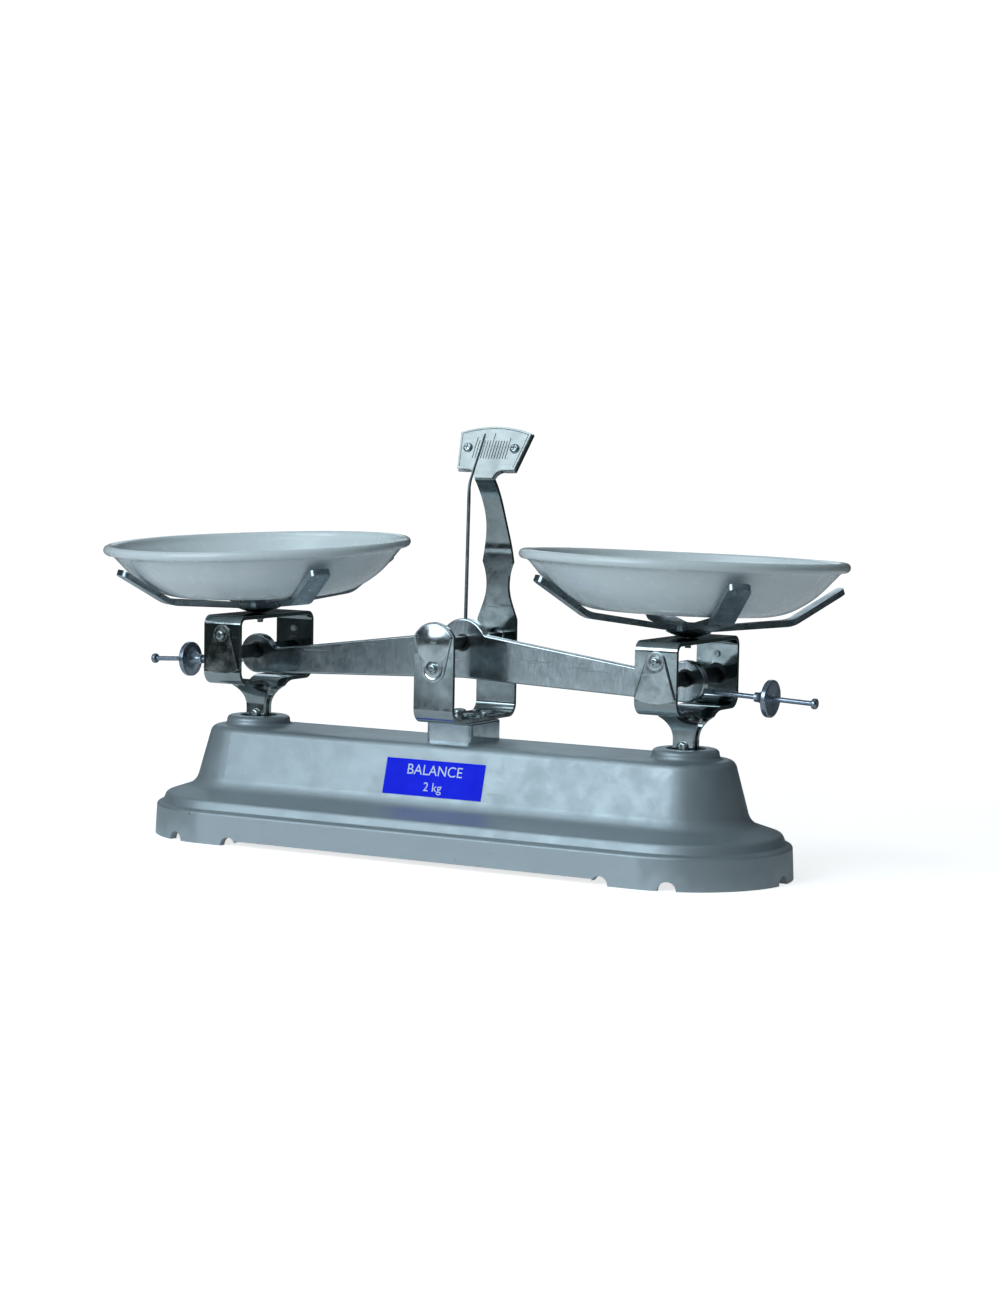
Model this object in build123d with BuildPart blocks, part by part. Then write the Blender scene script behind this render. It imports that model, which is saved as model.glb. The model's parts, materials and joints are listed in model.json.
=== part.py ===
"""Two-pan table balance: cast base, pressed-steel beam on knife edges, Roberval stay, two dishes.

Millimetres, +Z up, X along the beam, -Y towards the user.  The origin is on the table, at the
middle of the base.  Each function makes one piece, or one piece of a left and right pair.
"""
from build123d import *
import os
from math import asin, atan, cos, degrees, radians, sin, sqrt, tan

os.makedirs("parts", exist_ok=True)

# ------------------------------------------------------------------ driving dimensions
ARM = 125.0                 # centre knife to each end knife
SIDES = {"left": -1, "right": 1}

# Heights of the moving line
CENTRE_EDGE_Z = 103.5       # centre knife edge, pointing down
END_EDGE_Z = 99.5           # end knife edges, pointing up
EDGE_DROP = CENTRE_EDGE_Z - END_EDGE_Z
STAY_Z = 34.0               # centre pivot of the lower stay
STAY_END_Z = STAY_Z - EDGE_DROP
STAY_PIVOT_R = 2.0

# Base casting
BASE_TOP_Z = 57.0
BASE_END_R = 53.5
BASE_WALL = 4.0
COLLAR_R = 16.5
COLLAR_HOLE_R = 9.8
COLLAR_TOP_Z = 62.0
WALL_FOOT = (32.3, 26.5)    # where the sloping wall meets the shoulder: (half-width, height)
WALL_HEAD = (24.0, BASE_TOP_Z)
FOOT_NOTCH_R = 4.5
FOOT_NOTCH_X = 107.0         # notches beside the feet, along the straight sides
FOOT_NOTCH_DEG = (-72, 0, 72)   # notches round each end
RELIEF = (103.0, 2.8)       # half-length and height of the relief between the feet
LABEL_W = 57.0
LABEL_Z = (31.4, 49.0)
LABEL_T = 0.25

# Block and fork on top of the base
BLOCK = (26.4, 30.4)
BLOCK_TOP_Z = 67.7
STRIP = 2.0                 # thickness of every bent strip
FORK_W = 22.6
FORK_FRONT_Y = -30.5        # outer face of the front wall
FORK_BACK_Y = 33.3          # outer face of the back wall
FORK_TOP_Z = 118.5
FORK_BEND_R = 7.0
FORK_HOLE_Z = 107.5
FORK_SCREW_Z = 95.2
FORK_SHOULDER_Z = 117.0     # where the back wall gives way to the post
FLOOR_SCREW_XY = (16.0, 18.0)
FLOOR_SCREW_R = 2.0
FLOOR_HOLE_R = 2.2
M3_R = 1.5                  # shaft radius of the small screws

# Scale post and plate
POST_STRAIGHT_Z = 150.0
POST_ARC_R = 56.0
POST_ARC_DEG = 43.5
POST_WAIST = ((8.6, 124), (6.7, 130.5), (6.6, 138), (8.9, 146.2))       # half-width, height
POST_NECK = ((7.2, 156), (5.6, 166.7), (5.3, 178), (5.4, 195))
SCALE_LEAN = 29.5           # backward lean of the scale plate, degrees
SCALE_FOOT_YZ = (15.7, 188.9)
SCALE_T = 1.0
SCALE_SCREW = (13.7, 17.0)
SCALE_TONGUE = 5.0          # half-width of the tongue at its foot
SCALE_LOW = (16.6, 5.0)     # lower corner: half-width, distance up the plate
SCALE_HIGH = (20.6, 26.0)   # upper corner
SCALE_CROWN = 29.6
SCALE_HEAD_MARGIN = 0.4     # how far the post's head shows round the plate

# Covers over the bearings
COVER_T = 0.9
FORK_COVER_FOOT_R = 6.6
FORK_COVER_HEAD = (10.4, 111.3)     # half-width and height where the crown begins
FORK_COVER_TOP_Z = 117.6
DOME_COVER = (8.6, 2.6)     # radius and height of the bulge over the bearing
YOKE_COVER_HEAD_R = 5.2
YOKE_COVER_FOOT = (10.9, 88.4)
YOKE_COVER_SAG = 2.4

# Bearings and knives
BEARING_R = 5.2
KNIFE_W = 5.2
KNIFE_H = 6.5
KNIFE_SHOULDER = 4.5
KNIFE_SLOPE = 4.2           # height of the knife's two sloping faces
GROOVE = (3.9, 3.2)         # half-width and depth of the grooves the knives rest in
RUNNING = 0.05              # radial clearance of a running fit

# Beam
BEAM_T = 5.0
DOME_Z = 105.0
DOME_R = 13.9
EYE_Z = 94.5
EYE_R = 10.3
POINTER_R = 0.9
POINTER_POINTS = ((0, 0, 113.4), (0, 1.6, 186.3), (0, 16.8, 211.4))
YOKE_HOLE_Z = 96.4          # centre of the yokes' bearing holes

# Yoke (pan carrier)
YOKE_W = 22.4
YOKE_HALF_DEPTH = 34.25
YOKE_TOP_Z = 115.7
YOKE_FLOOR_Z = 80.0
YOKE_SCREW_Z = 105.9
YOKE_SCREW_R = 1.6
YOKE_COVER_T = 1.0
STEM_HALF_W = 5.5
STEM_INNER_Y = 1.5
STEM_END_Z = 50.0
STEM_SCREW_Z = 62.5
STEM_BAR_HALF_W = 4.5
STAY_PIN_PLAY = 0.15        # radial clearance of the stay pins in the stem bars

# Spider and pan, measured in the tilted frame of the hub
HUB_GAP = 0.25
HUB_NUT_GAP = 0.3
SPIDER_Z = 3.0
SPIDER_T = 2.8
SPIDER_W = 11.5
SPIDER_HUB_R = 9.5
ARM_ROOT_R = 11.0
ARM_BEND_R = 51.4
ARM_TIP_R = 77.8
ARM_LOW_SLOPE = 5.85
ARM_HIGH_SLOPE = 33.0
ARM_ANGLES = (50, 140, 230, 320)
SPIDER_TURN = {"left": 8.5, "right": -6.5}      # degrees that each spider has turned
HUB_LEAN = {"left": (-0.026, -0.045), "right": (-0.004, 0.060)}     # x and y of the hub axis

# Pan: loose on its spider, so it leans and sits a little off the hub
PAN_FLAT_R = 38.0
PAN_R = 80.2
PAN_LIP_R = 2.4
PAN_WALL = 1.8
PAN_DEPTH = 27.8
PAN_OUTSIDE = ((46.0, 0.8), (54.5, 3.8), (65.0, 11.0), (77.2, 24.3))    # radius, height
PAN_INSIDE = ((75.9, 25.6), (63.8, 12.4), (53.6, 5.4), (45.6, 2.6))
PAN_Z = 10.6
PAN_LEAN = {"left": (-0.025, -0.040), "right": (0.0145, 0.0325)}
PAN_SHIFT = {"left": (0.0, -0.9), "right": (-4.2, 1.0)}     # along the beam, and up

# Balance screws and nuts
ROD_R = 1.25
ROD_START_X = 130.0
ROD_EXIT = (134.4, 90.4)
ROD_DROOP = 2.5
ROD_LENGTH = 59.2
ROD_HEAD_R = 2.6
ROD_HEAD_T = 2.6
NUT_R = 9.1
NUT_FROM_EXIT = 27.0        # from the beam's end to the inner end of the nut's hub


def save(part, name):
    """Label one finished piece and write its STEP file."""
    part.label = name
    export_step(part, f"parts/{name}.step")


def hub_plane(side):
    """The tilted frame of a spider: origin on the top of the yoke."""
    lean_x, lean_y = HUB_LEAN[side]
    return Plane(origin=(SIDES[side] * ARM, 0, YOKE_TOP_Z + HUB_GAP), x_dir=(1, 0, -lean_x),
                 z_dir=(lean_x, lean_y, 1))


def pan_plane(side):
    """The frame of a pan: near the hub's, with the pan's own lean and shift."""
    lean_x, lean_y = PAN_LEAN[side]
    along, up = PAN_SHIFT[side]
    return Plane(origin=(SIDES[side] * ARM + along, 0, YOKE_TOP_Z + HUB_GAP + up),
                 x_dir=(1, 0, -lean_x), z_dir=(lean_x, lean_y, 1))


def rod_plane(side):
    """Frame of a balance screw: origin where it leaves the beam, +Z outwards along the screw."""
    s = SIDES[side]
    droop = radians(ROD_DROOP)
    return Plane(origin=(s * ROD_EXIT[0], 0, ROD_EXIT[1]), x_dir=(0, 1, 0),
                 z_dir=(s * cos(droop), 0, -sin(droop)))


def scale_plane():
    """Frame of the scale plate: origin at the foot of its tongue, +Y up the plate, +Z to the user."""
    lean = radians(SCALE_LEAN)
    return Plane(origin=(0, *SCALE_FOOT_YZ), x_dir=(1, 0, 0), z_dir=(0, -cos(lean), sin(lean)))


def wall_y(z):
    """Half-width of the base's sloping wall at height z."""
    slope = (WALL_FOOT[0] - WALL_HEAD[0]) / (WALL_HEAD[1] - WALL_FOOT[1])
    return WALL_HEAD[0] + slope * (WALL_HEAD[1] - z)


# ------------------------------------------------------------------ base
def casting_half_section():
    """Half of the bell-shaped section: flat top, sloping wall, cove, bead and skirt."""
    points = [
        (0, BASE_TOP_Z), WALL_HEAD, WALL_FOOT, (47.8, 21.2), (49.6, 17.0), (52.7, 15.8),
        (BASE_END_R, 0), (BASE_END_R - BASE_WALL, 0), (48.4, 12.2), (43.5, 16.8), (28.0, 22.5),
        (20.0, BASE_TOP_Z - BASE_WALL), (0, BASE_TOP_Z - BASE_WALL),
    ]
    radii = [0, 4.5, 9.0, 2.6, 0.8, 1.4, 0, 0, 2.0, 1.5, 6.0, 2.0, 0]
    FilletPolyline(*points, radius=radii, close=True)


def make_base_casting():
    """Hollow stadium-shaped casting with two collars, screw holes and feet."""
    with BuildPart() as casting:
        with BuildSketch(Plane.YZ.offset(-ARM)):
            with BuildLine():
                casting_half_section()
            make_face()
            mirror(about=Plane.YZ)
        extrude(amount=2 * ARM)
        for s in SIDES.values():
            with BuildSketch(Plane.YZ.offset(s * ARM)):
                with BuildLine():
                    casting_half_section()
                make_face()
            revolve(axis=Axis((s * ARM, 0, 0), (0, 0, -s)), revolution_arc=180)
        # collars round the stems
        with BuildSketch(Plane.XY.offset(BASE_TOP_Z - 1)):
            with Locations((-ARM, 0), (ARM, 0)):
                Circle(COLLAR_R)
        extrude(amount=COLLAR_TOP_Z - BASE_TOP_Z + 1)
        rims = casting.edges().filter_by(GeomType.CIRCLE).filter_by_position(
            Axis.Z, COLLAR_TOP_Z - 0.01, COLLAR_TOP_Z + 0.01)
        fillet(rims, 2.4)
        roots = casting.edges().filter_by(GeomType.CIRCLE).filter_by_position(
            Axis.Z, BASE_TOP_Z - 0.01, BASE_TOP_Z + 0.01)
        fillet([e for e in roots if abs(e.radius - COLLAR_R) < 0.01], 2.4)
        with Locations((-ARM, 0, COLLAR_TOP_Z), (ARM, 0, COLLAR_TOP_Z)):
            Hole(COLLAR_HOLE_R, depth=COLLAR_TOP_Z - BASE_TOP_Z + BASE_WALL + 1)
        with Locations((0, 0, BASE_TOP_Z)):
            with GridLocations(*FLOOR_SCREW_XY, 2, 2):
                Hole(FLOOR_HOLE_R, depth=BASE_WALL + 1)
        # shallow relief along both sides, and half-round notches beside the feet
        with BuildSketch(Plane.XY):
            Rectangle(2 * RELIEF[0], 2.2 * BASE_END_R)
        extrude(amount=RELIEF[1], mode=Mode.SUBTRACT)
        with BuildSketch(Plane.XZ):
            with Locations((-FOOT_NOTCH_X, 0), (FOOT_NOTCH_X, 0)):
                Circle(FOOT_NOTCH_R)
        extrude(amount=1.1 * BASE_END_R, both=True, mode=Mode.SUBTRACT)
        for s in SIDES.values():
            for angle in FOOT_NOTCH_DEG:
                direction = (s * cos(radians(angle)), sin(radians(angle)), 0)
                with BuildSketch(Plane(origin=(s * ARM, 0, 0), z_dir=direction)):
                    Circle(FOOT_NOTCH_R)
                extrude(amount=1.1 * BASE_END_R, mode=Mode.SUBTRACT)
    save(casting.part, "base_casting")


def make_centre_block():
    """Plated block between the base and the fork."""
    with BuildPart() as block:
        with BuildSketch(Plane.XY.offset(BASE_TOP_Z)):
            RectangleRounded(*BLOCK, 2.5)
        extrude(amount=BLOCK_TOP_Z - BASE_TOP_Z)
        fillet(block.faces().sort_by(Axis.Z)[-1].edges(), 1.2)
        with Locations((0, 0, BLOCK_TOP_Z)):
            with GridLocations(*FLOOR_SCREW_XY, 2, 2):
                Hole(FLOOR_HOLE_R)
    save(block.part, "centre_block")


def make_label():
    """Thin label on the sloping front wall, between the shoulder and the top edge."""
    low, high = LABEL_Z
    middle = (low + high) / 2
    tilt = atan((wall_y(low) - wall_y(high)) / (high - low))
    plane = Plane(origin=(0, -wall_y(middle), middle), x_dir=(1, 0, 0), z_dir=(0, -cos(tilt), sin(tilt)))
    with BuildPart() as label:
        with BuildSketch(plane):
            Rectangle(LABEL_W, (high - low) / cos(tilt))
        extrude(amount=LABEL_T)
    save(label.part, "label")


# ------------------------------------------------------------------ fork and scale post
def scale_outline(grow=0.0):
    """Fan-shaped outline of the scale plate with a tongue and two concave cut-outs."""
    tongue = SCALE_TONGUE + grow
    neck = tongue + 0.6
    low = Vector(SCALE_LOW[0] + grow, SCALE_LOW[1] - grow)
    high = Vector(SCALE_HIGH[0] + grow, SCALE_HIGH[1] + grow)
    foot = Polyline((0, -grow), (tongue, -grow), (neck, 0.8))
    cut = ThreePointArc((neck, 0.8), (SCALE_TONGUE + 2.6, low.Y - 1.1), (low.X - 5.4, low.Y - 0.2))
    side = Polyline(cut @ 1, low, high)
    top = ThreePointArc(side @ 1, (SCALE_HIGH[0] / 2, SCALE_CROWN - 0.9 + grow), (0, SCALE_CROWN + grow))
    Line(top @ 1, foot @ 0)


def post_outline():
    """Half of the post's front view: full width, waist, pointed bulge, slender neck."""
    base = Polyline((0, FORK_SHOULDER_Z - 17), (FORK_W / 2, FORK_SHOULDER_Z - 17),
                    (FORK_W / 2, FORK_SHOULDER_Z))
    waist = Spline(base @ 1, *POST_WAIST)
    neck = Spline(waist @ 1, *POST_NECK)
    Polyline(neck @ 1, (0, POST_NECK[-1][1]), base @ 0)


def make_fork_post():
    """One bent strip: front wall, floor, back wall, scale post and leaning head."""
    inner_y = FORK_BACK_Y - STRIP
    arc_centre_y = inner_y - POST_ARC_R
    with BuildPart() as fork:
        # front wall, floor and back wall
        with BuildSketch(Plane.YZ.offset(-FORK_W / 2)):
            with BuildLine():
                FilletPolyline(
                    (FORK_FRONT_Y, FORK_TOP_Z), (FORK_FRONT_Y, BLOCK_TOP_Z), (FORK_BACK_Y, BLOCK_TOP_Z),
                    (FORK_BACK_Y, FORK_TOP_Z), (inner_y, FORK_TOP_Z), (inner_y, BLOCK_TOP_Z + STRIP),
                    (FORK_FRONT_Y + STRIP, BLOCK_TOP_Z + STRIP), (FORK_FRONT_Y + STRIP, FORK_TOP_Z),
                    radius=[0, FORK_BEND_R, FORK_BEND_R, 0, 0, FORK_BEND_R - STRIP, FORK_BEND_R - STRIP, 0],
                    close=True)
            make_face()
        extrude(amount=FORK_W)
        # rounded top of the front wall
        with BuildSketch(Plane.XZ.offset(-FORK_FRONT_Y)):
            with BuildLine():
                low_z, high_z = FORK_TOP_Z - 7, FORK_TOP_Z + 7
                crown = ThreePointArc((-FORK_W / 2, low_z), (0, FORK_TOP_Z), (FORK_W / 2, low_z))
                Polyline(crown @ 1, (FORK_W, low_z), (FORK_W, high_z), (-FORK_W, high_z),
                         (-FORK_W, low_z), crown @ 0)
            make_face()
        extrude(amount=-STRIP, mode=Mode.SUBTRACT)
        # back wall above its shoulder is replaced by the shaped post
        with BuildSketch(Plane.XZ.offset(-inner_y + 0.5)):
            with Locations((0, FORK_SHOULDER_Z + 5)):
                Rectangle(2 * FORK_W, 10)
        extrude(amount=-STRIP - 1, mode=Mode.SUBTRACT)
        # bearing and screw holes of both walls
        with BuildSketch(Plane.XZ.offset(-FORK_FRONT_Y)):
            with Locations((0, FORK_HOLE_Z)):
                Circle(BEARING_R)
            with Locations((0, FORK_SCREW_Z)):
                Circle(M3_R)
        extrude(amount=-(FORK_BACK_Y - FORK_FRONT_Y), mode=Mode.SUBTRACT)
        with Locations((0, 0, BLOCK_TOP_Z + STRIP)):
            with GridLocations(*FLOOR_SCREW_XY, 2, 2):
                Hole(FLOOR_HOLE_R, depth=STRIP)
        # head behind the scale plate
        with BuildSketch(scale_plane()):
            with BuildLine():
                scale_outline(grow=SCALE_HEAD_MARGIN)
            make_face()
            mirror(about=Plane.YZ)
            with Locations((-SCALE_SCREW[0], SCALE_SCREW[1]), SCALE_SCREW):
                Circle(M3_R, mode=Mode.SUBTRACT)
        extrude(amount=-STRIP)
    # post: a bent strip seen from the side, cut to its outline seen from the front
    with BuildPart() as post:
        with BuildSketch(Plane.YZ.offset(-FORK_W / 2)):
            with BuildLine():
                centre = (arc_centre_y, POST_STRAIGHT_Z)
                front = CenterArc(centre, POST_ARC_R, 0, POST_ARC_DEG)
                back = CenterArc(centre, POST_ARC_R + STRIP, 0, POST_ARC_DEG)
                Polyline(front @ 0, (inner_y, FORK_SHOULDER_Z), (FORK_BACK_Y, FORK_SHOULDER_Z), back @ 0)
                Line(front @ 1, back @ 1)
            make_face()
        extrude(amount=FORK_W)
        with BuildSketch(Plane.XZ):
            with BuildLine():
                post_outline()
            make_face()
            mirror(about=Plane.YZ)
        extrude(amount=2 * FORK_BACK_Y, both=True, mode=Mode.INTERSECT)
    with BuildPart() as whole:
        add(fork.part)
        add(post.part)
    save(whole.part, "fork_post")


def v_groove_insert(wall_outer_y, wall_inner_y, hole_z, edge_z, opens, x):
    """Hardened disc in a wall's hole, with a V groove whose apex meets a knife edge.

    opens is +1 for a groove open upwards and -1 for one open downwards.
    """
    low_y, high_y = sorted((wall_outer_y, wall_inner_y))
    with BuildPart() as insert:
        with BuildSketch(Plane.XZ.offset(-low_y)):
            with Locations((x, hole_z)):
                Circle(BEARING_R)
            with BuildLine():
                apex = edge_z - opens * RUNNING
                shoulder = apex + opens * GROOVE[1]
                mouth = hole_z + opens * 2 * BEARING_R
                right, left = x + GROOVE[0], x - GROOVE[0]
                Polyline((x, apex), (right, shoulder), (right, mouth), (left, mouth),
                         (left, shoulder), (x, apex))
            make_face(mode=Mode.SUBTRACT)
        extrude(amount=-(high_y - low_y))
    return insert.part


def make_fork_bearings():
    """Groove inserts that carry the centre knife."""
    walls = {"front": (FORK_FRONT_Y, FORK_FRONT_Y + STRIP), "back": (FORK_BACK_Y, FORK_BACK_Y - STRIP)}
    for name, (outer, inner) in walls.items():
        part = v_groove_insert(outer, inner, FORK_HOLE_Z, CENTRE_EDGE_Z, 1, 0)
        save(part, f"fork_bearing_{name}")


def make_fork_covers():
    """Domed covers over the fork's bearings: wide rounded head, narrow rounded foot."""
    dome_r, dome_h = DOME_COVER
    head_half, head_z = FORK_COVER_HEAD
    ball_r = (dome_r ** 2 + dome_h ** 2) / (2 * dome_h)
    hollow_r, hollow_h = ball_r - COVER_T, dome_h - COVER_T
    hollow_reach = sqrt(hollow_r ** 2 - (hollow_r - hollow_h) ** 2)
    foot_turn = 20
    for name, face_y, out in (("front", FORK_FRONT_Y, -1), ("back", FORK_BACK_Y, 1)):
        plane = Plane(origin=(0, face_y, 0), x_dir=(-out, 0, 0), z_dir=(0, out, 0))
        with BuildPart() as cover:
            with BuildSketch(plane):
                with BuildLine():
                    foot = CenterArc((0, FORK_SCREW_Z), FORK_COVER_FOOT_R, 180 + foot_turn,
                                     180 - 2 * foot_turn)
                    crown = ThreePointArc((head_half, head_z), (0, FORK_COVER_TOP_Z), (-head_half, head_z))
                    Line(foot @ 1, crown @ 0)
                    Line(crown @ 1, foot @ 0)
                make_face()
            extrude(amount=COVER_T)
            # shallow spherical bulge over the bearing, hollow inside
            bulge = Plane(origin=(0, face_y, FORK_HOLE_Z), x_dir=(0, out, 0), z_dir=(-out, 0, 0))
            axis = Axis((0, face_y, FORK_HOLE_Z), (0, out, 0))
            with BuildSketch(bulge):
                with BuildLine():
                    outer = CenterArc((dome_h + COVER_T - ball_r, 0), ball_r, 0,
                                      degrees(asin(dome_r / ball_r)))
                    Polyline(outer @ 1, (0, (outer @ 1).Y), (0, 0), outer @ 0)
                make_face()
            revolve(axis=axis)
            with BuildSketch(bulge):
                with BuildLine():
                    inner = CenterArc((hollow_h - hollow_r, 0), hollow_r, 0,
                                      degrees(asin(hollow_reach / hollow_r)))
                    Polyline(inner @ 1, (0, 0), inner @ 0)
                make_face()
            revolve(axis=axis, mode=Mode.SUBTRACT)
            with BuildSketch(plane):
                with Locations((0, FORK_SCREW_Z)):
                    Circle(M3_R)
            extrude(amount=COVER_T, mode=Mode.SUBTRACT)
        save(cover.part, f"fork_cover_{name}")


def pan_head_screw(plane, head_r, head_h, shaft_r, length):
    """Screw with a low domed head and a cross slot: +Z of the plane points out of the head."""
    with BuildPart() as screw:
        with BuildSketch(plane):
            Circle(head_r)
        extrude(amount=head_h)
        fillet(screw.faces().sort_by(Axis(plane.origin, plane.z_dir))[-1].edges(), head_h * 0.7)
        with BuildSketch(plane.offset(head_h)):
            Rectangle(head_r * 1.15, head_r * 0.26)
            Rectangle(head_r * 0.26, head_r * 1.15)
        extrude(amount=-head_h * 0.45, mode=Mode.SUBTRACT)
        with BuildSketch(plane):
            Circle(shaft_r)
        extrude(amount=-length)
    return screw.part


def group(parts):
    """Several separate solids in one node."""
    return Compound(children=parts)


def make_fork_screws():
    """Cover screws, floor screws and the nuts under the base top."""
    for name, y, out in (("front", FORK_FRONT_Y, -1), ("back", FORK_BACK_Y, 1)):
        plane = Plane(origin=(0, y + out * COVER_T, FORK_SCREW_Z), z_dir=(0, out, 0))
        save(pan_head_screw(plane, 2.7, 1.8, M3_R, COVER_T + STRIP + 0.8), f"fork_cover_screw_{name}")
    head_z = BLOCK_TOP_Z + STRIP
    half_x, half_y = FLOOR_SCREW_XY[0] / 2, FLOOR_SCREW_XY[1] / 2
    spots = [(x, y) for x in (-half_x, half_x) for y in (-half_y, half_y)]
    length = head_z - BASE_TOP_Z + BASE_WALL + STRIP + 4.5
    screws = [pan_head_screw(Plane(origin=(x, y, head_z)), 3.6, 2.4, FLOOR_SCREW_R, length) for x, y in spots]
    save(group(screws), "floor_screws")


# ------------------------------------------------------------------ scale
def make_scale_plate():
    """Leaning aluminium plate that carries the scale."""
    with BuildPart() as plate:
        with BuildSketch(scale_plane()):
            with BuildLine():
                scale_outline()
            make_face()
            mirror(about=Plane.YZ)
            with Locations((-SCALE_SCREW[0], SCALE_SCREW[1]), SCALE_SCREW):
                Circle(M3_R, mode=Mode.SUBTRACT)
        extrude(amount=SCALE_T)
    save(plate.part, "scale_plate")


def make_scale_screws():
    """Two screws that hold the scale plate on the post's head."""
    frame = scale_plane().offset(SCALE_T)
    screws = []
    for x in (-SCALE_SCREW[0], SCALE_SCREW[0]):
        spot = frame.from_local_coords(Vector(x, SCALE_SCREW[1], 0))
        plane = Plane(origin=spot, x_dir=frame.x_dir, z_dir=frame.z_dir)
        screws.append(pan_head_screw(plane, 2.5, 1.5, M3_R, SCALE_T + STRIP + 1.0))
    save(group(screws), "scale_screws")


# ------------------------------------------------------------------ beam
def make_beam():
    """Flat beam with a dome over the centre knife and an eye round each end knife."""
    with BuildPart() as beam:
        with BuildSketch(Plane.XZ) as face:
            with BuildLine():
                Polyline((0, 112.7), (ARM, 96.3), (ARM, EYE_Z - EYE_R + 0.15), (0, 88.9),
                         (-ARM, EYE_Z - EYE_R + 0.15), (-ARM, 96.3), (0, 112.7))
            make_face()
            with Locations((0, DOME_Z)):
                Circle(DOME_R)
            with Locations((-ARM, EYE_Z), (ARM, EYE_Z)):
                Circle(EYE_R)
            dome_corners = face.vertices().filter_by_position(Axis.Y, 105, 112).filter_by_position(
                Axis.X, -18, 18)
            fillet(dome_corners, 2.5)
            eye_corners = [v for v in face.vertices() if 108 < abs(v.X) < 122 and v.Y > 96]
            fillet(eye_corners, 5.0)
        extrude(amount=BEAM_T / 2, both=True)
        flat_faces = beam.faces().filter_by(Axis.Y)
        fillet(flat_faces.edges(), 0.9)
        # round seats of the three knives
        with BuildSketch(Plane.XZ):
            end_seat_z = END_EDGE_Z - KNIFE_H / 2
            with Locations((0, CENTRE_EDGE_Z + KNIFE_H / 2), (-ARM, end_seat_z), (ARM, end_seat_z)):
                Circle(KNIFE_SHOULDER)
        extrude(amount=BEAM_T, both=True, mode=Mode.SUBTRACT)
        # tapped holes of the balance screws
        for side in SIDES:
            with BuildSketch(rod_plane(side)):
                Circle(ROD_R)
            extrude(amount=-(ROD_EXIT[0] - ROD_START_X), mode=Mode.SUBTRACT)
            with BuildSketch(rod_plane(side)):
                Circle(ROD_R)
            extrude(amount=3, mode=Mode.SUBTRACT)
        # blind hole of the pointer in the crown of the dome
        upright = Vector(POINTER_POINTS[1]) - Vector(POINTER_POINTS[0])
        with BuildSketch(Plane(origin=POINTER_POINTS[0], z_dir=upright)):
            Circle(POINTER_R)
        extrude(amount=10, mode=Mode.SUBTRACT)
    save(beam.part, "beam")


def knife(x, edge_z, points, front_y, back_y):
    """Hardened knife with a round shoulder that fills its seat in the beam.

    points is -1 when the edge points down and +1 when it points up.
    """
    body_z = edge_z - points * KNIFE_H / 2
    with BuildPart() as blade:
        with BuildSketch(Plane.XZ.offset(-front_y)):
            with BuildLine():
                slope_z = edge_z - points * KNIFE_SLOPE
                back_z = edge_z - points * KNIFE_H
                Polyline((x, edge_z), (x + KNIFE_W / 2, slope_z), (x + KNIFE_W / 2, back_z),
                         (x - KNIFE_W / 2, back_z), (x - KNIFE_W / 2, slope_z), (x, edge_z))
            make_face()
        extrude(amount=-(back_y - front_y))
        with BuildSketch(Plane.XZ):
            with Locations((x, body_z)):
                Circle(KNIFE_SHOULDER)
        extrude(amount=BEAM_T / 2, both=True)
    return blade.part


def make_knives():
    """Centre knife with its edge down, end knives with their edges up."""
    save(knife(0, CENTRE_EDGE_Z, -1, FORK_FRONT_Y + 0.2, FORK_BACK_Y - 0.2), "centre_knife")
    for side, s in SIDES.items():
        reach = YOKE_HALF_DEPTH - 0.2
        save(knife(s * ARM, END_EDGE_Z, 1, -reach, reach), f"end_knife_{side}")


def make_pointer():
    """Wire pointer: upright from the dome, leaning back in front of the scale plate."""
    with BuildPart() as pointer:
        with BuildLine() as path:
            FilletPolyline(*POINTER_POINTS, radius=4)
        with BuildSketch(Plane(origin=path.line @ 0, z_dir=path.line % 0)):
            Circle(POINTER_R)
        sweep()
    save(pointer.part, "pointer")


def make_balance_screws():
    """Threaded rods in the beam's ends, each with a riveted head at its free end."""
    for side in SIDES:
        plane = rod_plane(side)
        with BuildPart() as rod:
            with BuildSketch(plane.offset(-(ROD_EXIT[0] - ROD_START_X))):
                Circle(ROD_R)
            extrude(amount=ROD_EXIT[0] - ROD_START_X + ROD_LENGTH - ROD_HEAD_T)
            with BuildSketch(plane.offset(ROD_LENGTH - ROD_HEAD_T)):
                Circle(ROD_HEAD_R)
            extrude(amount=ROD_HEAD_T)
            ends = rod.edges().filter_by(GeomType.CIRCLE).filter_by(
                lambda e: abs(e.radius - ROD_HEAD_R) < 0.01)
            fillet(ends, 0.9)
        save(rod.part, f"balance_screw_{side}")


def make_balance_nuts():
    """Disc nuts with a flared hub towards the beam."""
    for side in SIDES:
        plane = rod_plane(side)
        start = plane.offset(NUT_FROM_EXIT)
        section = Plane(origin=start.origin, x_dir=(0, 1, 0), z_dir=Vector(0, 1, 0).cross(start.z_dir))
        # local x is the radius, local y runs outwards along the screw
        bore = ROD_R + RUNNING
        with BuildPart() as nut:
            with BuildSketch(section):
                with BuildLine():
                    neck = Line((bore, 0), (2.4, 0))
                    collar = Line(neck @ 1, (2.4, 1.6))
                    flare = ThreePointArc(collar @ 1, (3.6, 4.2), (6.2, 6.0))
                    back = Line(flare @ 1, (NUT_R - 0.7, 6.4))
                    rim_in = ThreePointArc(back @ 1, (NUT_R - 0.2, 6.6), (NUT_R, 7.1))
                    rim = Line(rim_in @ 1, (NUT_R, 8.6))
                    rim_out = ThreePointArc(rim @ 1, (NUT_R - 0.2, 9.1), (NUT_R - 0.7, 9.3))
                    front = Line(rim_out @ 1, (bore, 9.0))
                    Line(front @ 1, neck @ 0)
                make_face()
            revolve(axis=Axis(start.origin, start.z_dir))
        save(nut.part, f"balance_nut_{side}")


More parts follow.
